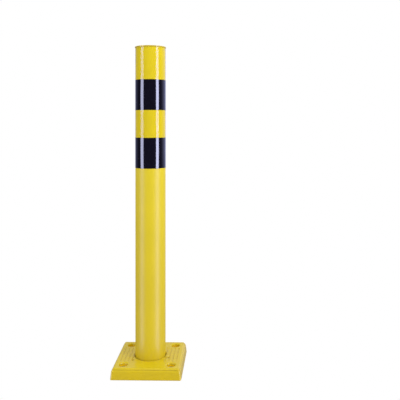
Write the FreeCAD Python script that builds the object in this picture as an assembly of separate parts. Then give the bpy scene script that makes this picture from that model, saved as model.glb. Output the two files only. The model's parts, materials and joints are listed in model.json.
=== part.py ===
"""Self-righting safety bollard: a steel post that leans on a ball in a square moulded foot.

Millimetres, +Z up. The origin is the centre of the foot's underside, on the floor.
The foot is bolted to the floor through four corner holes. The post is a round steel tube welded
to a foot disc. The disc is held down by a retaining ring between two elastomer rings, and stands
on a steel ball, so the post can lean a few degrees in any direction and comes upright again.
"""
import FreeCAD, Part
import math
import os

from FreeCAD import Vector

# Driving dimensions
TUBE_RADIUS = 88.9 / 2
TUBE_WALL = 3.2
TOTAL_HEIGHT = 945.0
FOOT_SIDE = 200.0
FOOT_TOP_SIDE = 195.0
FOOT_WALL_HEIGHT = 22.0
FOOT_HEIGHT = 31.0
FOOT_CORNER_RADIUS = 5.0
ANCHOR_PITCH = 136.0
ANCHOR_HOLE_RADIUS = 6.0
SCREW_CIRCLE_RADIUS = 60.0
SCREW_ANGLES = (100.0, 220.0, 340.0)
LEAN_LIMIT = 4.0
BAND_HEIGHT = 89.5
BAND_GAP = 80.5
BAND_BELOW_TOP = 98.5

# Fits, as clearance on a radius or on each side
TOUCH_CLEARANCE = 0.02
RUNNING_CLEARANCE = 0.03
HOLE_CLEARANCE = 0.25
LOOSE_CLEARANCE = 0.5
PAST_FACE = 1.0  # how far a cutting tool runs past a face

# Floor plate
PLATE_SIDE = 180.0
PLATE_CORNER_RADIUS = 12.0
PLATE_TOP = 5.0

# Layers in the foot, from the floor plate up
BUFFER_HEIGHT = 6.0
DISC_BOTTOM = PLATE_TOP + BUFFER_HEIGHT
DISC_TOP = DISC_BOTTOM + 5.0
RING_BOTTOM = FOOT_WALL_HEIGHT
RING_TOP = RING_BOTTOM + 4.0
COVER_BOTTOM = FOOT_WALL_HEIGHT + 0.5
COLLAR_TOP = FOOT_HEIGHT - 0.3
ANCHOR_SEAT = FOOT_WALL_HEIGHT

# Ball pivot, at half the height of the foot disc
PIVOT = Vector(0, 0, (DISC_BOTTOM + DISC_TOP) / 2)
BALL_RADIUS = 8.0
DISH_RADIUS = BALL_RADIUS + RUNNING_CLEARANCE
SEAT_RADIUS = 14.0
SEAT_SPIGOT_RADIUS = 10.0
LOWER_SEAT_HEIGHT = 4.0
UPPER_SEAT_CROWN = 3.5
SPIGOT_ABOVE_FLOOR = 0.5

# Round parts about the post's axis
DISC_RADIUS = 52.0
BUFFER_RADIUS = DISC_RADIUS + 1.5
BUFFER_BORE_RADIUS = SEAT_RADIUS + 6.0
CAVITY_RADIUS = BUFFER_RADIUS + 1.0
CAVITY_WALL_RADIUS = 68.0
DIAGONAL_LEAN = math.radians(LEAN_LIMIT * math.sqrt(2))
POST_SWAY = (FOOT_HEIGHT - PIVOT.z) * math.sin(DIAGONAL_LEAN)
COLLAR_INNER_RADIUS = TUBE_RADIUS + POST_SWAY + 0.2
OPENING_RADIUS = COLLAR_INNER_RADIUS + 1.5

# Housing, whose sloping shoulder ends in a narrow rim that the cover rests on
HOUSING_FLOOR = PLATE_TOP + 3.0
SHOULDER_SIDE = 190.0
SHOULDER_CORNER_RADIUS = 4.0
RIM_TOP = RING_TOP
RIM_INNER_SIDE = SHOULDER_SIDE - 8.0
RIM_INNER_CORNER_RADIUS = 4.0
BOSS_RADIUS = 16.0
RIB_THICKNESS = 4.0
RIB_ANGLES = (0, 45, 90, 135)
COUNTERBORE_RADIUS = 11.5
ANCHOR_SLEEVE_RADIUS = 8.5

# Screws
SCREW_RADIUS = 2.5
SCREW_HOLE_RADIUS = SCREW_RADIUS + HOLE_CLEARANCE
SCREW_END = 0.8
HEAD_RADIUS = 4.25
HEAD_SEAT = FOOT_HEIGHT - 3.7
HEAD_TOP = HEAD_SEAT + 2.0
SOCKET_ACROSS_FLATS = 3.0
SOCKET_DEPTH = 1.3
SPACER_RADIUS = 4.0
SCREW_POCKET_RADIUS = HEAD_RADIUS + HOLE_CLEARANCE

# Cover and its gasket
GASKET_INSET = 0.5
GASKET_THICKNESS = 0.5
FLANGE_BOTTOM = RIM_TOP + GASKET_THICKNESS
FLANGE_SIDE = SHOULDER_SIDE - 1.0
FLANGE_LIP = 1.0
FLANGE_CORNER_RADIUS = SHOULDER_CORNER_RADIUS - 0.5
PLATEAU_SIDE = 182.5
PLATEAU_CORNER_RADIUS = 3.0
GROOVE_COUNT = 4
GROOVE_FIRST = 47.5
GROOVE_PITCH = 11.0
GROOVE_LENGTH = 92.0
GROOVE_RADIUS = 2.0
GROOVE_DEPTH = 1.3
GROOVE_FREE_RADIUS = OPENING_RADIUS + 3.5

# Rounded edges
WALL_EDGE = 1.4
PLATEAU_EDGE = 1.2
HOLE_EDGE = 5.0
OPENING_EDGE = 1.4
POCKET_EDGE = 1.0
SMALL_EDGE = 0.5

# Cap and films
CAP_DISH_DEPTH = 1.0
CAP_DISH_MARGIN = 5.0
CAP_RIM_HEIGHT = 3.5
CAP_OVERHANG = 1.5
CAP_SKIRT_LENGTH = 24.0
CAP_SKIRT_WALL = 2.5
CAP_SKIRT_CLEARANCE = 0.8
SKIRT_LEAD_IN = 0.8
GRIP_RING_HEIGHT = 2.5
GRIP_RINGS_BELOW_RIM = (20.0, 14.0, 8.0)
CAP_TOP_EDGE = 1.0
CAP_UNDER_EDGE = 0.5
TUBE_TOP = TOTAL_HEIGHT - CAP_RIM_HEIGHT
FILM_THICKNESS = 0.25
FILM_BELOW_RIM = 0.5
BAND_UPPER_TOP = TOTAL_HEIGHT - BAND_BELOW_TOP
BAND_LOWER_TOP = BAND_UPPER_TOP - BAND_HEIGHT - BAND_GAP


def cylinder(radius, bottom, top, x=0.0, y=0.0):
    """An upright cylinder between two heights."""
    return Part.makeCylinder(radius, top - bottom, Vector(x, y, bottom))


def hole(radius, bottom, top, x=0.0, y=0.0):
    """A cutting cylinder that runs past both heights."""
    return cylinder(radius, bottom - PAST_FACE, top + PAST_FACE, x, y)


def ring(outer, inner, bottom, top, x=0.0, y=0.0):
    """An upright tube between two heights."""
    return cylinder(outer, bottom, top, x, y).cut(hole(inner, bottom, top, x, y))


def square_outline(side, corner, height):
    """A square wire with round corners, at one height."""
    half = side / 2
    straight = half - corner
    diagonal = straight + corner * math.sqrt(0.5)
    edges = []
    for quarter in range(4):
        turn = FreeCAD.Rotation(Vector(0, 0, 1), 90 * quarter)
        start = turn.multVec(Vector(half, -straight, height))
        end = turn.multVec(Vector(half, straight, height))
        middle = turn.multVec(Vector(diagonal, diagonal, height))
        following = turn.multVec(Vector(straight, half, height))
        edges.append(Part.makeLine(start, end))
        edges.append(Part.Arc(end, middle, following).toShape())
    return Part.Wire(edges)


def square_loft(sections):
    """A solid with straight sides through (side, corner, height) sections."""
    return Part.makeLoft([square_outline(*section) for section in sections], True, True)


def square_block(side, corner, bottom, top):
    """An upright square block with round corners."""
    return square_loft([(side, corner, bottom), (side, corner, top)])


def turned(outline):
    """A solid of revolution about Z, from (radius, height) points."""
    points = [Vector(radius, 0, height) for radius, height in outline]
    face = Part.Face(Part.makePolygon(points + [points[0]]))
    return face.revolve(Vector(0, 0, 0), Vector(0, 0, 1), 360)


def hexagon_prism(x, y, across_flats, bottom, top):
    """An upright six-sided prism."""
    reach = across_flats / math.sqrt(3)
    points = []
    for corner in range(7):
        angle = math.radians(60 * corner)
        points.append(Vector(x + reach * math.cos(angle), y + reach * math.sin(angle), bottom))
    return Part.Face(Part.makePolygon(points)).extrude(Vector(0, 0, top - bottom))


def level_edges(shape, height):
    """Edges that lie wholly at one height."""
    tolerance = 0.01
    found = []
    for edge in shape.Edges:
        box = edge.BoundBox
        if abs(box.ZMin - height) < tolerance and abs(box.ZMax - height) < tolerance:
            found.append(edge)
    return found


def round_edges(shape, height, radius):
    """The level circular edges of one radius."""
    circles = [edge for edge in level_edges(shape, height) if isinstance(edge.Curve, Part.Circle)]
    return [edge for edge in circles if abs(edge.Curve.Radius - radius) < 0.01]


def corner_places():
    """Centres of the four anchor holes."""
    half = ANCHOR_PITCH / 2
    return [(half, -half), (half, half), (-half, half), (-half, -half)]


def screw_places():
    """Centres of the three screws round the post."""
    places = []
    for angle in SCREW_ANGLES:
        turn = math.radians(angle)
        places.append((SCREW_CIRCLE_RADIUS * math.cos(turn), SCREW_CIRCLE_RADIUS * math.sin(turn)))
    return places


def holes(places, radius, bottom, top):
    """One cutting cylinder at each place."""
    return [hole(radius, bottom, top, x, y) for x, y in places]


# The foot, which is bolted to the floor


def base_plate():
    """Steel floor plate with anchor holes, tapped holes and the hole for the pivot seat."""
    plate = square_block(PLATE_SIDE, PLATE_CORNER_RADIUS, 0, PLATE_TOP)
    cuts = holes(corner_places(), ANCHOR_HOLE_RADIUS, 0, PLATE_TOP)
    cuts += holes(screw_places(), SCREW_RADIUS + RUNNING_CLEARANCE, 0, PLATE_TOP)
    cuts.append(hole(SEAT_SPIGOT_RADIUS + TOUCH_CLEARANCE, 0, PLATE_TOP))
    return plate.cut(cuts)


def base_housing():
    """Moulded outer body: a drafted wall, a shoulder, a round cavity, corner bosses and ribs."""
    body = square_loft([
        (FOOT_SIDE, FOOT_CORNER_RADIUS, 0),
        (FOOT_TOP_SIDE, FOOT_CORNER_RADIUS, FOOT_WALL_HEIGHT),
        (SHOULDER_SIDE, SHOULDER_CORNER_RADIUS, RIM_TOP),
    ])
    body = body.makeFillet(WALL_EDGE, level_edges(body, FOOT_WALL_HEIGHT))
    pocket_side = PLATE_SIDE + 2 * LOOSE_CLEARANCE
    pocket_corner = PLATE_CORNER_RADIUS + LOOSE_CLEARANCE
    cuts = [square_block(pocket_side, pocket_corner, -PAST_FACE, PLATE_TOP), housing_cells()]
    cuts.append(rim_window(FOOT_WALL_HEIGHT, RIM_TOP + PAST_FACE))
    cuts.append(hole(CAVITY_RADIUS, PLATE_TOP, FOOT_WALL_HEIGHT))
    cuts += holes(screw_places(), SPACER_RADIUS + TOUCH_CLEARANCE, PLATE_TOP, FOOT_WALL_HEIGHT)
    cuts += holes(corner_places(), ANCHOR_SLEEVE_RADIUS + TOUCH_CLEARANCE, PLATE_TOP, ANCHOR_SEAT)
    return body.cut(cuts)


def rim_window(bottom, top, inset=0.0):
    """A block that fills the housing's rim between two heights, less an inset on each side."""
    side = RIM_INNER_SIDE - 2 * inset
    return square_block(side, RIM_INNER_CORNER_RADIUS - inset, bottom, top)


def housing_cells():
    """The hollows between the housing's wall, its cavity wall, its bosses and its ribs."""
    top = FOOT_WALL_HEIGHT + PAST_FACE
    cells = rim_window(HOUSING_FLOOR, top)
    kept = [hole(CAVITY_WALL_RADIUS, HOUSING_FLOOR, top)]
    kept += holes(corner_places(), BOSS_RADIUS, HOUSING_FLOOR, top)
    for angle in RIB_ANGLES:
        corner = Vector(-FOOT_SIDE, -RIB_THICKNESS / 2, 0)
        rib = Part.makeBox(2 * FOOT_SIDE, RIB_THICKNESS, FOOT_HEIGHT, corner)
        rib.rotate(Vector(0, 0, 0), Vector(0, 0, 1), angle)
        kept.append(rib)
    return cells.cut(kept)


def anchor_sleeves():
    """Steel sleeves in the corner bosses, which carry the anchors' clamping force."""
    return Part.makeCompound([
        ring(ANCHOR_SLEEVE_RADIUS, ANCHOR_HOLE_RADIUS, PLATE_TOP, ANCHOR_SEAT, x, y)
        for x, y in corner_places()
    ])


def spacer_sleeves():
    """Steel sleeves round the screws, between the floor plate and the retaining ring."""
    return Part.makeCompound([
        ring(SPACER_RADIUS, SCREW_HOLE_RADIUS, PLATE_TOP, RING_BOTTOM, x, y)
        for x, y in screw_places()
    ])


def lower_pivot_seat():
    """Steel cup pressed into the floor plate, which the ball stands in."""
    cup = cylinder(SEAT_RADIUS, PLATE_TOP, PLATE_TOP + LOWER_SEAT_HEIGHT)
    spigot = cylinder(SEAT_SPIGOT_RADIUS, SPIGOT_ABOVE_FLOOR, PLATE_TOP)
    return cup.fuse(spigot).cut(Part.makeSphere(DISH_RADIUS, PIVOT))


def lower_buffer():
    """Elastomer ring under the foot disc."""
    return ring(BUFFER_RADIUS, BUFFER_BORE_RADIUS, PLATE_TOP, DISC_BOTTOM)


def upper_buffer():
    """Elastomer ring between the foot disc and the retaining ring."""
    return ring(BUFFER_RADIUS, COLLAR_INNER_RADIUS, DISC_TOP, RING_BOTTOM)


def retaining_ring():
    """Steel ring that holds the foot disc down."""
    body = ring(CAVITY_WALL_RADIUS, OPENING_RADIUS, RING_BOTTOM, RING_TOP)
    return body.cut(holes(screw_places(), SCREW_HOLE_RADIUS, RING_BOTTOM, RING_TOP))


def cover_gasket():
    """Flat rubber frame between the housing's rim and the cover's flange."""
    side = FLANGE_SIDE - 2 * GASKET_INSET
    frame = square_block(side, FLANGE_CORNER_RADIUS, RIM_TOP, FLANGE_BOTTOM)
    return frame.cut(rim_window(RIM_TOP - PAST_FACE, FLANGE_BOTTOM + PAST_FACE))


def base_cover():
    """Moulded top of the foot: bevelled flange, plateau, grooves and round-lipped openings."""
    body = square_loft([
        (FLANGE_SIDE, FLANGE_CORNER_RADIUS, FLANGE_BOTTOM),
        (FLANGE_SIDE, FLANGE_CORNER_RADIUS, FLANGE_BOTTOM + FLANGE_LIP),
        (PLATEAU_SIDE, PLATEAU_CORNER_RADIUS, FOOT_HEIGHT),
    ])
    body = body.makeFillet(PLATEAU_EDGE, level_edges(body, FOOT_HEIGHT))
    body = body.fuse(rim_window(COVER_BOTTOM, FLANGE_BOTTOM, LOOSE_CLEARANCE)).removeSplitter()
    cuts = holes(corner_places(), COUNTERBORE_RADIUS, COVER_BOTTOM, FOOT_HEIGHT)
    cuts.append(hole(OPENING_RADIUS, COVER_BOTTOM, FOOT_HEIGHT))
    for x, y in screw_places():
        cuts.append(cylinder(SCREW_POCKET_RADIUS, HEAD_SEAT, FOOT_HEIGHT + PAST_FACE, x, y))
    body = body.cut(cuts)
    lips = (
        (COUNTERBORE_RADIUS, HOLE_EDGE),
        (OPENING_RADIUS, OPENING_EDGE),
        (SCREW_POCKET_RADIUS, POCKET_EDGE),
    )
    for radius, edge in lips:
        body = body.makeFillet(edge, round_edges(body, FOOT_HEIGHT, radius))
    ring_pocket = CAVITY_WALL_RADIUS + LOOSE_CLEARANCE
    cuts = [cylinder(ring_pocket, COVER_BOTTOM - PAST_FACE, RING_TOP), cover_grooves()]
    cuts += holes(screw_places(), SCREW_HOLE_RADIUS, RING_TOP, FOOT_HEIGHT)
    return body.cut(cuts)


def cover_grooves():
    """Round-bottomed, round-ended grooves that run front to back on each side of the post."""
    height = FOOT_HEIGHT + GROOVE_RADIUS - GROOVE_DEPTH
    end = GROOVE_LENGTH / 2
    tools = []
    for side in (-1, 1):
        for step in range(GROOVE_COUNT):
            x = side * (GROOVE_FIRST + step * GROOVE_PITCH)
            front = Vector(x, -end, height)
            tools.append(Part.makeCylinder(GROOVE_RADIUS, GROOVE_LENGTH, front, Vector(0, 1, 0)))
            tools.append(Part.makeSphere(GROOVE_RADIUS, front))
            tools.append(Part.makeSphere(GROOVE_RADIUS, Vector(x, end, height)))
    merged = tools[0].multiFuse(tools[1:])
    return merged.cut(hole(GROOVE_FREE_RADIUS, COVER_BOTTOM, FOOT_HEIGHT + GROOVE_RADIUS))


def cover_screws():
    """Three low-head socket screws that clamp the cover and the retaining ring to the floor plate."""
    screws = []
    for x, y in screw_places():
        head = cylinder(HEAD_RADIUS, HEAD_SEAT, HEAD_TOP, x, y)
        head = head.makeFillet(SMALL_EDGE, level_edges(head, HEAD_TOP))
        shank = cylinder(SCREW_RADIUS, SCREW_END, HEAD_SEAT, x, y)
        socket = hexagon_prism(x, y, SOCKET_ACROSS_FLATS, HEAD_TOP - SOCKET_DEPTH, FOOT_HEIGHT)
        screws.append(head.fuse(shank).cut(socket))
    return Part.makeCompound(screws)


def collar_ring():
    """Rubber ring that lines the cover's opening round the post."""
    body = ring(OPENING_RADIUS - TOUCH_CLEARANCE, COLLAR_INNER_RADIUS, RING_TOP, COLLAR_TOP)
    return body.makeFillet(SMALL_EDGE, round_edges(body, COLLAR_TOP, COLLAR_INNER_RADIUS))


# The post, which leans


def pivot_ball():
    """Steel ball that the post stands on."""
    return Part.makeSphere(BALL_RADIUS, PIVOT)


def upper_pivot_seat():
    """Steel cup pressed into the foot disc from above, which rests on the ball."""
    spigot = cylinder(SEAT_SPIGOT_RADIUS, DISC_BOTTOM, DISC_TOP)
    cup = cylinder(SEAT_RADIUS, DISC_TOP, PIVOT.z + BALL_RADIUS + UPPER_SEAT_CROWN)
    dish = Part.makeSphere(DISH_RADIUS, PIVOT)
    mouth = cylinder(DISH_RADIUS, DISC_BOTTOM - PAST_FACE, PIVOT.z)
    return spigot.fuse(cup).cut([dish, mouth])


def foot_disc():
    """Steel disc welded to the tube's lower end."""
    body = ring(DISC_RADIUS, SEAT_SPIGOT_RADIUS + TOUCH_CLEARANCE, DISC_BOTTOM, DISC_TOP)
    rims = round_edges(body, DISC_TOP, DISC_RADIUS) + round_edges(body, DISC_BOTTOM, DISC_RADIUS)
    return body.makeChamfer(SMALL_EDGE, rims)


def post_tube():
    """Round steel tube."""
    return ring(TUBE_RADIUS, TUBE_RADIUS - TUBE_WALL, DISC_TOP, TUBE_TOP)


def top_cap():
    """Push-in cap: a shallow dished top, a rim that overhangs the tube, and a ringed skirt."""
    rim = TUBE_RADIUS + CAP_OVERHANG
    bore = TUBE_RADIUS - TUBE_WALL
    skirt = bore - CAP_SKIRT_CLEARANCE
    hollow = skirt - CAP_SKIRT_WALL
    skirt_end = TUBE_TOP - CAP_SKIRT_LENGTH
    lead_in = skirt - SKIRT_LEAD_IN
    outline = [(0, TUBE_TOP), (hollow, TUBE_TOP), (hollow, skirt_end), (lead_in, skirt_end)]
    for below in GRIP_RINGS_BELOW_RIM:
        ring_base = TUBE_TOP - below
        outline.append((skirt, ring_base))
        outline.append((bore - TOUCH_CLEARANCE, ring_base))
        outline.append((skirt, ring_base + GRIP_RING_HEIGHT))
    outline += [(skirt, TUBE_TOP), (rim, TUBE_TOP), (rim, TOTAL_HEIGHT), (0, TOTAL_HEIGHT)]
    body = turned(outline)
    body = body.makeFillet(CAP_TOP_EDGE, round_edges(body, TOTAL_HEIGHT, rim))
    body = body.makeFillet(CAP_UNDER_EDGE, round_edges(body, TUBE_TOP, rim))
    return body.cut(cap_dish(rim - CAP_DISH_MARGIN))


def cap_dish(radius):
    """The shallow dish in the cap's top, a slice of a large ball."""
    ball_radius = (radius ** 2 + CAP_DISH_DEPTH ** 2) / (2 * CAP_DISH_DEPTH)
    return Part.makeSphere(ball_radius, Vector(0, 0, TOTAL_HEIGHT - CAP_DISH_DEPTH + ball_radius))


def film(layer, bottom, top):
    """A film wrapped round the tube; layer 0 lies on the tube, layer 1 on another film."""
    inner = TUBE_RADIUS + layer * FILM_THICKNESS
    return ring(inner + FILM_THICKNESS, inner, bottom, top)


def yellow_film():
    """Glossy yellow film from the cap down to the lower black band's lower edge."""
    return film(0, BAND_LOWER_TOP - BAND_HEIGHT, TUBE_TOP - FILM_BELOW_RIM)


def band_upper():
    """The upper black film, over the yellow one."""
    return film(1, BAND_UPPER_TOP - BAND_HEIGHT, BAND_UPPER_TOP)


def band_lower():
    """The lower black film, over the yellow one."""
    return film(1, BAND_LOWER_TOP - BAND_HEIGHT, BAND_LOWER_TOP)


PIECES = (
    base_plate, base_housing, anchor_sleeves, spacer_sleeves, lower_pivot_seat, lower_buffer,
    upper_buffer, retaining_ring, cover_gasket, base_cover, cover_screws, collar_ring, pivot_ball,
    upper_pivot_seat, foot_disc, post_tube, top_cap, yellow_film, band_upper, band_lower,
)


def main():
    """Writes one STEP file per piece, and prints each piece's volume."""
    os.makedirs("parts", exist_ok=True)
    for piece in PIECES:
        shape = piece()
        shape.exportStep(f"parts/{piece.__name__}.step")
        facts = f"solids {len(shape.Solids)} valid {shape.isValid()} volume {shape.Volume / 1000:.2f} cm3"
        print(f"{piece.__name__:18s} {facts}")


main()
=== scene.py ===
"""Looks of the self-righting safety bollard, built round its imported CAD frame. Metres, +Z up."""

import json
import math

import bpy
from mathutils import Euler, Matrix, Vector


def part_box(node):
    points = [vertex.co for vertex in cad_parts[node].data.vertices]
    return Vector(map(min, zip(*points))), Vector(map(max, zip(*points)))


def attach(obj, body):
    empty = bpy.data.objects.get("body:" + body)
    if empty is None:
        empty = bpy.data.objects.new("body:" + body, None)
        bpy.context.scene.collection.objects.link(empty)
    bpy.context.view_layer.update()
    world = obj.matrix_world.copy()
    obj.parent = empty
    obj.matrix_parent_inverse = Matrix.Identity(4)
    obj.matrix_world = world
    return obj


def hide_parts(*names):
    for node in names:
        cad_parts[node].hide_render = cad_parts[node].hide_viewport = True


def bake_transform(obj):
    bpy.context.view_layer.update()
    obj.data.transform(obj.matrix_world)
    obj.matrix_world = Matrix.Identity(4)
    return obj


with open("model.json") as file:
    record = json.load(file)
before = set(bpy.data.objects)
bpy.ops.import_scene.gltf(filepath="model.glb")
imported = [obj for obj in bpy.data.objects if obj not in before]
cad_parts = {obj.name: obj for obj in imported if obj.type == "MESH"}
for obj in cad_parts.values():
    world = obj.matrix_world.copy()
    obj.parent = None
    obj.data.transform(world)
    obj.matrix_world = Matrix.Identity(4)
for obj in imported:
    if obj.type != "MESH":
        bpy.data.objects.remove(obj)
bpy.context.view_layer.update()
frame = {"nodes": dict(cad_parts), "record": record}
NODES = frame["nodes"]

MM = 0.001
TURN = 2 * math.pi
SEAM_CLIMB = 0.10  # the angle, in radians, over which a film's end climbs onto its start

# Surface colours, linear
BLACK = (0.0, 0.0, 0.0)
WHITE = (1.0, 1.0, 1.0)
YELLOW_PAINT = (0.785, 0.597, 0.012)
# the post's paint colour higher up, paler than lower down
PALER_UPPER_PAINT = (0.87, 0.685, 0.016)
PAINT_DUST = (0.58, 0.48, 0.20)
YELLOW_FILM = (0.825, 0.64, 0.020)
BLACK_FILM = (0.005, 0.004, 0.011)
YELLOW_CAP = (0.68, 0.51, 0.020)
ZINC = (0.56, 0.55, 0.52)
DULL_ZINC = (0.50, 0.47, 0.36)
HARD_STEEL = (0.36, 0.36, 0.37)
# painted shade: the black of the screws' sockets and sides
SOCKET_SHADE_BLACK = (0.020, 0.019, 0.018)

# The foot's moulding: sides; upper faces painted paler as painted light; painted shade in grooves, on
# recess floors and at the floor; painted light and glow in recesses; worn edges
YELLOW_MOULDING = (0.75, 0.545, 0.003)
LIT_TOP_MOULDING = (0.75, 0.575, 0.008)
GROOVE_SHADE = (0.42, 0.29, 0.004)
RECESS_WALL_LIGHT = (0.97, 0.66, 0.001)
RECESS_FLOOR_SHADE = (0.62, 0.40, 0.001)
WORN_EDGE = (0.86, 0.70, 0.11)
FLOOR_CONTACT_SHADE = (0.30, 0.20, 0.01)
PAINTED_RECESS_GLOW = (1.0, 0.52, 0.0)

# Rubbers, each with the paler bloom on it
YELLOW_RUBBER = (0.66, 0.48, 0.020)
YELLOW_BLOOM = (0.66, 0.52, 0.12)
BLACK_RUBBER = (0.016, 0.015, 0.014)
ELASTOMER = (0.030, 0.031, 0.034)
GREY_BLOOM = (0.07, 0.068, 0.064)

# Gloss: refractive indexes, and the tint of what paint and yellow film mirror
COOL_SHEEN = (0.60, 0.64, 1.0)
PAINT_IOR = 1.335
GRAZING_PAINT_IOR = 1.05
PLASTIC_IOR = 1.42
BLACK_FILM_IOR = 1.70
RUBBER_IOR = 1.45

# Films by CAD node, with the heading of each one's seam in degrees and how far its end laps over
FILMS = {
    "yellow_film": {"name": "yellow_wrap", "slot": "yellow_film", "seam": 70, "lap": 14 * MM},
    "band_upper": {"name": "black_wrap_upper", "slot": "black_film", "seam": 96, "lap": 16 * MM},
    "band_lower": {"name": "black_wrap_lower", "slot": "black_film", "seam": 82, "lap": 16 * MM},
}

# Camera of the reference view: held level, with its lens raised so that uprights stay upright
CAMERA_PLACE = Vector((0.2387, -1.6309, 0.7233))
CAMERA_HEADING = math.radians(1.041)
LENS_MM = 49.457
SENSOR_MM = 36.0
LENS_SHIFT = {"shift_x": -0.0520, "shift_y": -0.1959}
MARK_RADIUS = 20 * MM

# Studio, in metres, with brightness as a multiple of the white backdrop's. The strip boxes reach
# below the floor, which mirrored rays pass through.
STRIP_DISTANCE = 1.6
STRIP_TOP = 1.6
STRIP_BOTTOM = -1.1
LEFT_STRIP = {"degrees": -58.2, "width": 0.68, "radiance": 8.6}
RIGHT_STRIP = {"degrees": 61.0, "width": 0.60, "radiance": 12.8}
KEY_PLACE = (2.3, -1.7, 2.3)
KEY_TARGET = (0.0, 0.0, 0.2)
KEY_SIZE = 1.0
KEY_RADIANCE = 9.4
OVERHEAD_PLACE = (0.3, -0.2, 2.6)
OVERHEAD_SIZE = 2.6
OVERHEAD_RADIANCE = 0.9
FLOOR_REACH = 8.0
FLOOR_GREYS = ((0.79, 0.79, 0.79), (0.81, 0.81, 0.81))
ROOM_LIGHT = 0.70
ROOM_MIRRORED = 0.06
COOL_WHITE = (0.68, 0.70, 1.0)
MIRRORED_WHITE = (0.55, 0.58, 1.0)


# Node graphs


class Graph:
    """A small builder for the node tree of one material or world."""

    def __init__(self, owner):
        self.owner = owner
        owner.use_nodes = True
        self.tree = owner.node_tree
        self.output = next(node for node in self.tree.nodes if node.type.startswith("OUTPUT"))
        self.shader = self.output.inputs["Surface"].links[0].from_node
        self.places = self.add("ShaderNodeTexCoord")
        self.place = self.places.outputs["Object"]

    def add(self, kind, settings=None, **inputs):
        """A node, with its properties set and its inputs filled with values or linked to sockets."""
        node = self.tree.nodes.new(kind)
        for key, value in (settings or {}).items():
            setattr(node, key, value)
        for key, value in inputs.items():
            self.fill(node.inputs[key.replace("_", " ")], value)
        return node

    def fill(self, socket, value):
        """Links a socket to another, or gives it a value."""
        if isinstance(value, bpy.types.NodeSocket):
            self.tree.links.new(value, socket)
        elif isinstance(value, tuple) and len(value) == 3 and socket.type == "RGBA":
            socket.default_value = (*value, 1.0)
        else:
            socket.default_value = value

    def set(self, **inputs):
        """Fills inputs of the main shader."""
        for key, value in inputs.items():
            self.fill(self.shader.inputs[key.replace("_", " ")], value)

    def noise(self, per_metre, detail=2.0, roughness=0.5, place=None):
        """Noise between about 0 and 1, with so many features a metre."""
        node = self.add("ShaderNodeTexNoise", Vector=place or self.place, Scale=per_metre,
                        Detail=detail, Roughness=roughness)
        return node.outputs["Fac"]

    def remap(self, value, low, high, to_low, to_high):
        """Maps a range onto another, held at its ends."""
        node = self.add("ShaderNodeMapRange", Value=value, From_Min=low, From_Max=high,
                        To_Min=to_low, To_Max=to_high)
        return node.outputs["Result"]

    def math(self, operation, first, second=0.0):
        """One arithmetic step."""
        node = self.add("ShaderNodeMath", {"operation": operation})
        self.fill(node.inputs[0], first)
        self.fill(node.inputs[1], second)
        return node.outputs["Value"]

    def blend(self, share, first, second):
        """A mix of two colours."""
        node = self.add("ShaderNodeMix", {"data_type": "RGBA"})
        self.fill(node.inputs[0], share)
        self.fill(node.inputs[6], first)
        self.fill(node.inputs[7], second)
        return node.outputs[2]

    def stretched(self, x, y, z):
        """The object's coordinates, scaled along each axis."""
        return self.add("ShaderNodeMapping", Vector=self.place, Scale=(x, y, z)).outputs["Vector"]

    def bump(self, height, metres, strength=1.0, under=None):
        """A normal from a height, over another normal if one is given."""
        node = self.add("ShaderNodeBump", Height=height, Distance=metres, Strength=strength)
        if under is not None:
            self.fill(node.inputs["Normal"], under)
        return node.outputs["Normal"]

    def part_of(self, vector, axis):
        """One component of a vector."""
        return self.add("ShaderNodeSeparateXYZ", Vector=vector).outputs[axis]

    def faces_up(self):
        """One on faces that look up, zero on steep ones."""
        normal = self.add("ShaderNodeNewGeometry").outputs["True Normal"]
        return self.remap(self.part_of(normal, "Z"), 0.3, 0.95, 0.0, 1.0)

    def near_edge(self, radius):
        """One on an edge, falling to zero a radius away on either side."""
        rounded = self.add("ShaderNodeBevel", {"samples": 6}, Radius=radius).outputs["Normal"]
        flat = self.add("ShaderNodeNewGeometry").outputs["Normal"]
        likeness = self.add("ShaderNodeVectorMath", {"operation": "DOT_PRODUCT"})
        self.fill(likeness.inputs[0], rounded)
        self.fill(likeness.inputs[1], flat)
        return self.remap(likeness.outputs["Value"], 0.86, 0.995, 1.0, 0.0)

    def ray(self, kind):
        """One while the surface is met by rays of a kind, otherwise zero."""
        return self.add("ShaderNodeLightPath").outputs[f"Is {kind} Ray"]


def material_graph(name):
    """A new material with its node builder."""
    return Graph(bpy.data.materials.new(name))


def darker(colour, share):
    """A colour scaled in brightness."""
    return tuple(channel * share for channel in colour)


# Materials


def painted_post():
    """Satin powder coat, paler higher up: fine orange peel, faint clouds, and dust low on the post.
    Its grain dulls what it mirrors at a grazing angle."""
    g = material_graph("post_paint")
    clouds = g.noise(9.0, 3.0)
    height = g.part_of(g.place, "Z")
    colour = g.blend(g.remap(height, 0.20, 0.60, 0.0, 1.0), YELLOW_PAINT, PALER_UPPER_PAINT)
    colour = g.blend(g.remap(clouds, 0.35, 0.65, 0.0, 0.045), colour, BLACK)
    low = g.remap(height, 0.03, 0.14, 1.0, 0.0)
    dust = g.math("MULTIPLY", low, g.remap(g.noise(70.0, 5.0, 0.65), 0.45, 0.75, 0.0, 0.14))
    colour = g.blend(dust, colour, PAINT_DUST)
    rub = g.remap(g.noise(3.0, 6.0, 0.7, g.stretched(9.0, 9.0, 1.0)), 0.52, 0.72, 0.0, 0.05)
    peel = g.bump(g.noise(620.0, 2.0), 0.06 * MM, 0.4)
    grain = g.bump(g.noise(2600.0, 1.0), 0.015 * MM, 0.4, peel)
    g.set(Base_Color=colour, Roughness=g.math("ADD", 0.40, rub), Normal=grain)
    grazing = g.add("ShaderNodeLayerWeight").outputs["Facing"]
    g.set(IOR=g.remap(grazing, 0.68, 0.88, PAINT_IOR, GRAZING_PAINT_IOR), Specular_Tint=COOL_SHEEN)
    return g.owner


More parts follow.
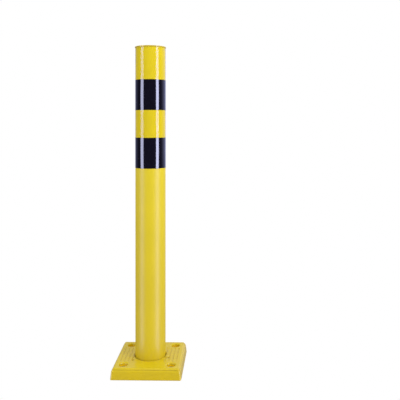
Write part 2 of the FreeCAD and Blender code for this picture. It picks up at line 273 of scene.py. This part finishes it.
def glossy_film(name, colour, ior, tint):
    """Wrapped adhesive film: a hard gloss, slow waves left by laying it, and fine hairline rubs."""
    g = material_graph(name)
    tone = g.blend(g.remap(g.noise(14.0, 3.0), 0.3, 0.7, 0.0, 1.0), colour, darker(colour, 0.95))
    waves = g.noise(18.0, 1.0, 0.5, g.stretched(1.0, 1.0, 0.35))
    lay = g.bump(waves, 0.14 * MM, 0.35)
    dimples = g.bump(g.noise(260.0, 1.0), 0.004 * MM, 0.4, lay)
    hairlines = g.noise(5.0, 4.0, 0.7, g.stretched(60.0, 60.0, 4.0))
    rough = g.remap(hairlines, 0.45, 0.75, 0.075, 0.12)
    g.set(Base_Color=tone, Roughness=rough, Normal=dimples, IOR=ior, Specular_Tint=tint)
    return g.owner


def groove_zone(g):
    """One between the two rows of corner holes, where the foot has its grooves, zero beyond."""
    pattern = next(mount for mount in frame["record"]["mounts"] if mount["name"] == "anchor_holes")
    hole_row = pattern["dims"]["spacing_y_mm"] / 2 * MM
    zone_end = hole_row - 20 * MM
    across = g.math("ABSOLUTE", g.part_of(g.place, "Y"))
    return g.remap(across, zone_end - 4 * MM, zone_end, 1.0, 0.0)


def worn_and_floor_shaded(g, colour):
    """Adds pale worn patches along the edges, and painted contact shade in the last millimetres above
    the floor.
    """
    patches = g.remap(g.noise(130.0, 4.0), 0.4, 0.6, 0.1, 0.35)
    worn = g.math("MULTIPLY", g.near_edge(1.2 * MM), patches)
    colour = g.blend(worn, colour, WORN_EDGE)
    # painted contact shade: darker in the last millimetres above the floor
    low = g.remap(g.part_of(g.place, "Z"), 0.0, 2.5 * MM, 0.35, 0.0)
    return g.blend(low, colour, FLOOR_CONTACT_SHADE)


def moulded_foot():
    """Satin moulding: grain, flow clouds, worn edges, upper faces painted paler as painted light and
    painted shade in the grooves. Its corner recesses get painted light and a faint painted glow on their
    walls, and painted shade on their floors."""
    g = material_graph("foot_moulding")
    clouds = g.noise(16.0, 4.0, 0.6)
    upward = g.faces_up()
    # painted light: faces that look up are painted paler, for the light they catch from above
    colour = g.blend(upward, YELLOW_MOULDING, LIT_TOP_MOULDING)
    colour = g.blend(g.remap(clouds, 0.35, 0.65, 0.0, 0.06), colour, BLACK)
    open_sky = g.add("ShaderNodeAmbientOcclusion", {"samples": 16}, Distance=6 * MM).outputs["AO"]
    grooved = groove_zone(g)
    # painted shade in the grooves, darkest where ambient occlusion is deepest
    groove_shade = g.math("MULTIPLY", g.remap(open_sky, 0.78, 0.97, 0.24, 0.0), grooved)
    colour = g.blend(groove_shade, colour, GROOVE_SHADE)
    # painted light on the walls of deep recesses and painted shade on their floors, by ambient occlusion
    depth = g.remap(open_sky, 0.40, 0.95, 1.0, 0.0)
    hollow = g.math("MULTIPLY", depth, g.math("SUBTRACT", 1.0, grooved))
    colour = g.blend(hollow, colour, g.blend(upward, RECESS_WALL_LIGHT, RECESS_FLOOR_SHADE))
    # painted glow: the recesses emit a little orange light, standing for light they would receive
    glow = g.math("MULTIPLY", hollow, g.remap(upward, 0.0, 1.0, 0.14, 0.02))
    # pale worn patches on the edges, and painted contact shade just above the floor
    colour = worn_and_floor_shaded(g, colour)
    grain = g.bump(g.noise(1500.0, 2.0, 0.6), 0.015 * MM, 0.5)
    soft = g.bump(g.noise(110.0, 2.0), 0.12 * MM, 0.2, grain)
    g.set(Base_Color=colour, Roughness=g.remap(clouds, 0.3, 0.7, 0.30, 0.36), Normal=soft)
    # the emission is the painted glow of the recesses
    g.set(IOR=PLASTIC_IOR, Emission_Color=PAINTED_RECESS_GLOW, Emission_Strength=glow)
    return g.owner


def moulded_cap():
    """Semi-gloss moulded cap with faint clouds."""
    g = material_graph("cap_plastic")
    clouds = g.noise(40.0, 3.0)
    colour = g.blend(g.remap(clouds, 0.35, 0.65, 0.0, 1.0), YELLOW_CAP, darker(YELLOW_CAP, 0.93))
    grain = g.bump(g.noise(1300.0, 2.0), 0.03 * MM, 0.6)
    g.set(Base_Color=colour, Roughness=g.remap(g.noise(90.0), 0.3, 0.7, 0.26, 0.34), Normal=grain)
    return g.owner


def rubber(name, colour, bloom_colour, roughness):
    """Matt rubber with a fine grain and a paler bloom."""
    g = material_graph(name)
    bloom = g.remap(g.noise(120.0, 5.0, 0.65), 0.42, 0.72, 0.0, 0.35)
    tone = g.blend(bloom, colour, bloom_colour)
    grain = g.bump(g.noise(2200.0, 2.0), 0.04 * MM, 0.8)
    g.set(Base_Color=tone, Roughness=roughness, Normal=grain, IOR=RUBBER_IOR)
    return g.owner


def zinc_plate():
    """Zinc plating: cloudy bright and dull patches over a rolled surface."""
    g = material_graph("plated_steel")
    spangle = g.add("ShaderNodeTexVoronoi", Vector=g.place, Scale=210.0).outputs["Color"]
    grey = g.add("ShaderNodeRGBToBW", Color=spangle).outputs["Val"]
    tone = g.blend(g.remap(grey, 0.2, 0.8, 0.0, 0.5), ZINC, darker(ZINC, 0.80))
    tone = g.blend(g.remap(g.noise(30.0, 5.0), 0.5, 0.8, 0.0, 0.35), tone, DULL_ZINC)
    rolled = g.bump(g.noise(500.0, 3.0, 0.6, g.stretched(1.0, 0.08, 1.0)), 0.02 * MM, 0.6)
    g.set(Base_Color=tone, Metallic=1.0, Roughness=g.remap(grey, 0.0, 1.0, 0.30, 0.44), Normal=rolled)
    return g.owner


def turned_steel():
    """Hardened steel with fine turning rings."""
    g = material_graph("bare_steel")
    rings = g.add("ShaderNodeTexWave", {"wave_type": "RINGS", "rings_direction": "Z"},
                  Vector=g.place, Scale=700.0, Distortion=0.4).outputs["Fac"]
    tone = g.blend(g.remap(g.noise(60.0, 4.0), 0.4, 0.7, 0.0, 0.5), HARD_STEEL, darker(HARD_STEEL, 0.7))
    g.set(Base_Color=tone, Metallic=1.0, Roughness=0.24, Normal=g.bump(rings, 0.008 * MM, 0.5))
    return g.owner


def coated_screw():
    """Screw heads coated with the foot's yellow on top; their sockets and sides are painted black as
    painted shade.
    """
    g = material_graph("screw_coating")
    head_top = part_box("cover_screws")[1].z
    coat = g.remap(g.part_of(g.place, "Z"), head_top - 0.4 * MM, head_top - 0.2 * MM, 0.0, 1.0)
    chips = g.remap(g.noise(900.0, 3.0), 0.60, 0.70, 1.0, 0.6)
    # below the coated top the screw is painted black, painted shade in its socket
    tone = g.blend(g.math("MULTIPLY", coat, chips), SOCKET_SHADE_BLACK, darker(YELLOW_MOULDING, 0.92))
    grain = g.bump(g.noise(1800.0, 2.0), 0.03 * MM, 0.6)
    g.set(Base_Color=tone, Roughness=g.remap(coat, 0.0, 1.0, 0.55, 0.38), Normal=grain)
    return g.owner


# Mesh helpers


def new_piece(name, points, faces, material, smooth=True):
    """A mesh object from points and faces."""
    mesh = bpy.data.meshes.new(name)
    mesh.from_pydata(points, [], faces)
    mesh.update()
    for polygon in mesh.polygons:
        polygon.use_smooth = smooth
    piece = bpy.data.objects.new(name, mesh)
    bpy.context.scene.collection.objects.link(piece)
    piece.data.materials.append(material)
    return piece


def swept(name, profile, path, material, closed_path=True):
    """A solid from a closed profile carried along a path of frames (origin, outward, up)."""
    count = len(profile)
    points = []
    for origin, outward, up in path:
        for across, rise in profile:
            points.append(origin + outward * across + up * rise)
    faces = []
    stations = len(path)
    for station in range(stations if closed_path else stations - 1):
        here = station * count
        there = (station + 1) % stations * count
        for corner in range(count):
            following = (corner + 1) % count
            faces.append((here + corner, there + corner, there + following, here + following))
    if not closed_path:
        faces.append(tuple(range(count)))
        faces.append(tuple(reversed(range((stations - 1) * count, stations * count))))
    return new_piece(name, points, faces, material)


def circle_path(steps):
    """Frames about the Z axis, whose outward direction is the radius."""
    up = Vector((0, 0, 1))
    path = []
    for step in range(steps):
        angle = TURN * step / steps
        path.append((Vector((0, 0, 0)), Vector((math.cos(angle), math.sin(angle), 0)), up))
    return path


def square_path(half, corner, corner_steps):
    """Frames round a square with round corners, whose outward direction is the side's normal."""
    up = Vector((0, 0, 1))
    straight = half - corner
    path = []
    for quarter in range(4):
        for step in range(corner_steps + 1):
            angle = math.radians(90 * quarter + 90 * step / corner_steps)
            normal = Vector((math.cos(angle), math.sin(angle), 0))
            diagonal = math.radians(90 * quarter + 45)
            centre = Vector((math.cos(diagonal), math.sin(diagonal), 0)) * straight * math.sqrt(2)
            path.append((centre + normal * corner, normal, up))
    return path


def inner_radius(node):
    """The smallest distance of a node's points from the Z axis."""
    return min(math.hypot(vertex.co.x, vertex.co.y) for vertex in NODES[node].data.vertices)


def arc(across, rise, radius, start, sweep, steps=5):
    """Points on an arc, as (across, rise), from a start angle in degrees."""
    points = []
    for step in range(steps + 1):
        angle = math.radians(start + sweep * step / steps)
        points.append((across + radius * math.cos(angle), rise + radius * math.sin(angle)))
    return points


def arc_dip(middle, level, half_width, depth, direction, steps=6):
    """Points across a shallow groove; direction -1 runs inwards along a top face."""
    points = []
    for step in range(steps + 1):
        share = -1 + 2 * step / steps
        sunk = depth * (1 - share ** 2)
        points.append((middle + direction * share * half_width, level + direction * sunk))
    return points


def rounded_box_profile(inner, outer, bottom, top, radius, steps):
    """The outline of a rectangle with round corners."""
    outline = arc(outer - radius, top - radius, radius, 0, 90, steps)
    outline += arc(inner + radius, top - radius, radius, 90, 90, steps)
    outline += arc(inner + radius, bottom + radius, radius, 180, 90, steps)
    outline += arc(outer - radius, bottom + radius, radius, 270, 90, steps)
    return outline


# Soft pieces that stand for plain CAD solids


def buffer_ring(node, material):
    """An elastomer ring with rounded edges and a moulded relief groove in each flat face."""
    low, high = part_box(node)
    outer = high.x
    inner = inner_radius(node)
    middle = (inner + outer) / 2
    groove = (outer - inner) * 0.12
    depth = (high.z - low.z) * 0.12
    edge = 0.7 * MM
    outline = arc(outer - edge, high.z - edge, edge, 0, 90)
    outline += arc_dip(middle, high.z, groove, depth, -1)
    outline += arc(inner + edge, high.z - edge, edge, 90, 90)
    outline += arc(inner + edge, low.z + edge, edge, 180, 90)
    outline += arc_dip(middle, low.z, groove, depth, 1)
    outline += arc(outer - edge, low.z + edge, edge, 270, 90)
    piece = swept(node + "_moulding", outline, circle_path(160), material)
    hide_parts(node)
    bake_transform(piece)


def opening_collar(material):
    """The rubber ring in the cover's opening: a bead with two hollows between its wiper lips."""
    low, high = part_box("collar_ring")
    outer = high.x
    inner = inner_radius("collar_ring")
    lip = 0.45 * MM
    hollow = 0.5 * MM
    outline = arc(outer - lip, high.z - lip, lip, 0, 90)
    outline += arc(inner + lip, high.z - lip, lip, 90, 90)
    levels = 16
    for step in range(1, levels):
        share = step / levels
        wave = 0.5 - 0.5 * math.cos(2 * TURN * share)
        rise = high.z - lip - (high.z - low.z - 2 * lip) * share
        outline.append((inner + hollow * wave, rise))
    outline += arc(inner + lip, low.z + lip, lip, 180, 90)
    outline += arc(outer - lip, low.z + lip, lip, 270, 90)
    piece = swept("opening_collar", outline, circle_path(192), material)
    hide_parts("collar_ring")
    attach(piece, "foot")


def rim_gasket(material):
    """The flat gasket under the cover, whose outer edge bulges a little where it is squeezed."""
    low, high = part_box("cover_gasket")
    points = [vertex.co for vertex in NODES["cover_gasket"].data.vertices]
    width = high.x - min(max(abs(point.x), abs(point.y)) for point in points)
    diagonal = max(abs(point.x) + abs(point.y) for point in points) / math.sqrt(2)
    corner = (high.x * math.sqrt(2) - diagonal) / (math.sqrt(2) - 1)
    inset = 0.1 * MM
    flattening = 0.6
    bulge = arc(0, (low.z + high.z) / 2, (high.z - low.z) / 2, -90, 180, 8)
    outline = [(across * flattening - inset, rise) for across, rise in bulge]
    outline += [(-width, high.z), (-width, low.z)]
    piece = swept("rim_gasket", outline, square_path(high.x, corner, 10), material)
    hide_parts("cover_gasket")
    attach(piece, "foot")


# Films wrapped round the tube


def wrapped_film(node, material, name, slot, seam, lap):
    """A film wrapped once round the post, whose end climbs onto its start and laps over it."""
    low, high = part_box(node)
    outer = high.x
    inner = inner_radius(node)
    thick = outer - inner
    steps = 220
    lap_angle = lap / outer
    path = []
    up = Vector((0, 0, 1))
    for step in range(steps + 1):
        share = step / steps
        angle = math.radians(seam) + share * (TURN + lap_angle)
        turned = share * (TURN + lap_angle) - TURN
        climb = min(1.0, max(0.0, turned / SEAM_CLIMB + 1))
        lift = thick * (climb * climb * (3 - 2 * climb))
        outward = Vector((math.cos(angle), math.sin(angle), 0))
        path.append((outward * lift, outward, up))
    outline = rounded_box_profile(inner, outer, low.z, high.z, thick * 0.48, 3)
    piece = swept(name, outline, path, material, closed_path=False)
    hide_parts(node)
    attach(piece, "post")


# Scene


def dress_cad_nodes(materials):
    """Gives each CAD node that stays the material of its slot."""
    for entry in frame["record"]["subparts"]:
        node = NODES[entry["node"]]
        for slot in node.material_slots:
            slot.material = materials[entry["material_slot"]]


def make_materials():
    """One material for each slot of the record."""
    return {
        "post_paint": painted_post(),
        "foot_moulding": moulded_foot(),
        "cap_plastic": moulded_cap(),
        "yellow_film": glossy_film("yellow_film", YELLOW_FILM, PLASTIC_IOR, COOL_SHEEN),
        "black_film": glossy_film("black_film", BLACK_FILM, BLACK_FILM_IOR, WHITE),
        "black_rubber": rubber("black_rubber", BLACK_RUBBER, GREY_BLOOM, 0.62),
        "yellow_rubber": rubber("yellow_rubber", YELLOW_RUBBER, YELLOW_BLOOM, 0.55),
        "elastomer": rubber("elastomer", ELASTOMER, GREY_BLOOM, 0.55),
        "screw_coating": coated_screw(),
        "plated_steel": zinc_plate(),
        "bare_steel": turned_steel(),
    }


def softbox(name, place, target, width, height, radiance, colour=WHITE):
    """A rectangular area light of a given brightness, facing a target."""
    light = bpy.data.lights.new(name, "AREA")
    light.shape = "RECTANGLE"
    light.size = width
    light.size_y = height
    light.energy = radiance * width * height * math.pi
    light.color = colour
    lamp = bpy.data.objects.new(name, light)
    lamp.location = place
    lamp.rotation_euler = (Vector(target) - Vector(place)).to_track_quat("-Z", "Y").to_euler()
    bpy.context.scene.collection.objects.link(lamp)
    return lamp


def strip_box(name, degrees, width, radiance):
    """An upright strip box round from the camera's side, which shows only in gloss."""
    turn = math.radians(degrees)
    middle = (STRIP_TOP + STRIP_BOTTOM) / 2
    place = (STRIP_DISTANCE * math.sin(turn), -STRIP_DISTANCE * math.cos(turn), middle)
    height = STRIP_TOP - STRIP_BOTTOM
    lamp = softbox(name, place, (0, 0, middle), width, height, radiance, COOL_WHITE)
    lamp.visible_diffuse = False


def studio_lights():
    """Two upright strip boxes, a key box at the upper right and a wide box overhead."""
    strip_box("strip_left", **LEFT_STRIP)
    strip_box("strip_right", **RIGHT_STRIP)
    key = softbox("key", KEY_PLACE, KEY_TARGET, KEY_SIZE, KEY_SIZE, KEY_RADIANCE)
    key.visible_glossy = False
    softbox("overhead", OVERHEAD_PLACE, (0, 0, 0), OVERHEAD_SIZE, OVERHEAD_SIZE, OVERHEAD_RADIANCE)


def floor():
    """A pale matt floor that lights the object; the camera sees it as white as the backdrop."""
    g = material_graph("studio_floor")
    g.tree.nodes.remove(g.shader)
    tone = g.blend(g.noise(3.0, 2.0), *FLOOR_GREYS)
    matt = g.add("ShaderNodeBsdfDiffuse", Color=tone).outputs["BSDF"]
    white = g.add("ShaderNodeEmission").outputs["Emission"]
    seen = g.add("ShaderNodeMixShader", Fac=g.ray("Camera"))
    g.fill(seen.inputs[1], matt)
    g.fill(seen.inputs[2], white)
    g.fill(g.output.inputs["Surface"], seen.outputs["Shader"])
    signs = ((-1, -1), (1, -1), (1, 1), (-1, 1))
    corners = [Vector((x * FLOOR_REACH, y * FLOOR_REACH, 0)) for x, y in signs]
    piece = new_piece("floor", corners, [(0, 1, 2, 3)], g.owner, False)
    piece.visible_glossy = False
    piece.visible_shadow = False


def backdrop():
    """White behind the object; a dim room in front of it, for what the surfaces reflect."""
    g = Graph(bpy.data.worlds.new("studio"))
    g.owner.cycles.sampling_method = "NONE"  # lit by traced rays alone, so that each ray's kind is known
    bpy.context.scene.world = g.owner
    way = g.places.outputs["Generated"]
    behind = g.remap(g.part_of(way, "Y"), 0.1, 0.8, 0.0, 1.0)
    level = g.remap(g.part_of(way, "Z"), -0.3, -0.05, 0.45, 1.0)
    right = g.remap(g.part_of(way, "X"), -0.5, 0.5, 0.5, 1.25)
    wall = g.math("MULTIPLY", g.math("MULTIPLY", behind, level), right)
    mirrored = g.math("ADD", ROOM_MIRRORED, g.math("MULTIPLY", wall, 1.0 - ROOM_MIRRORED))
    light = g.remap(g.ray("Glossy"), 0.0, 1.0, ROOM_LIGHT, mirrored)
    g.fill(g.shader.inputs["Strength"], g.remap(g.ray("Camera"), 0.0, 1.0, light, 1.0))
    g.fill(g.shader.inputs["Color"], g.blend(g.ray("Glossy"), WHITE, MIRRORED_WHITE))


def camera():
    """The reference camera. Its lens is raised only at this place, so other views stay centred."""
    data = bpy.data.cameras.new("camera")
    data.lens = LENS_MM
    data.sensor_width = SENSOR_MM
    eye = bpy.data.objects.new("camera", data)
    eye.location = CAMERA_PLACE
    eye.rotation_euler = Euler((math.pi / 2, 0, CAMERA_HEADING))
    bpy.context.scene.collection.objects.link(eye)
    bpy.context.scene.camera = eye
    mark = bpy.data.objects.new("camera_mark", None)
    mark.location = CAMERA_PLACE
    bpy.context.scene.collection.objects.link(mark)
    for setting, amount in LENS_SHIFT.items():
        only_at_mark(data, setting, amount, eye, mark)


def only_at_mark(data, setting, amount, eye, mark):
    """Drives a lens setting so that it applies only while the camera stands at its mark."""
    curve = data.driver_add(setting)
    curve.driver.type = "AVERAGE"
    distance = curve.driver.variables.new()
    distance.type = "LOC_DIFF"
    distance.targets[0].id = eye
    distance.targets[1].id = mark
    for modifier in list(curve.modifiers):
        curve.modifiers.remove(modifier)
    for metres, value in ((0.0, amount), (MARK_RADIUS, 0.0)):
        point = curve.keyframe_points.insert(metres, value)
        point.interpolation = "CONSTANT"


materials = make_materials()
dress_cad_nodes(materials)
buffer_ring("lower_buffer", materials["elastomer"])
buffer_ring("upper_buffer", materials["elastomer"])
opening_collar(materials["yellow_rubber"])
rim_gasket(materials["black_rubber"])
for node, film in FILMS.items():
    wrapped_film(node, materials[film["slot"]], **film)
floor()
backdrop()
studio_lights()
camera()
bpy.context.scene.view_settings.view_transform = "Standard"
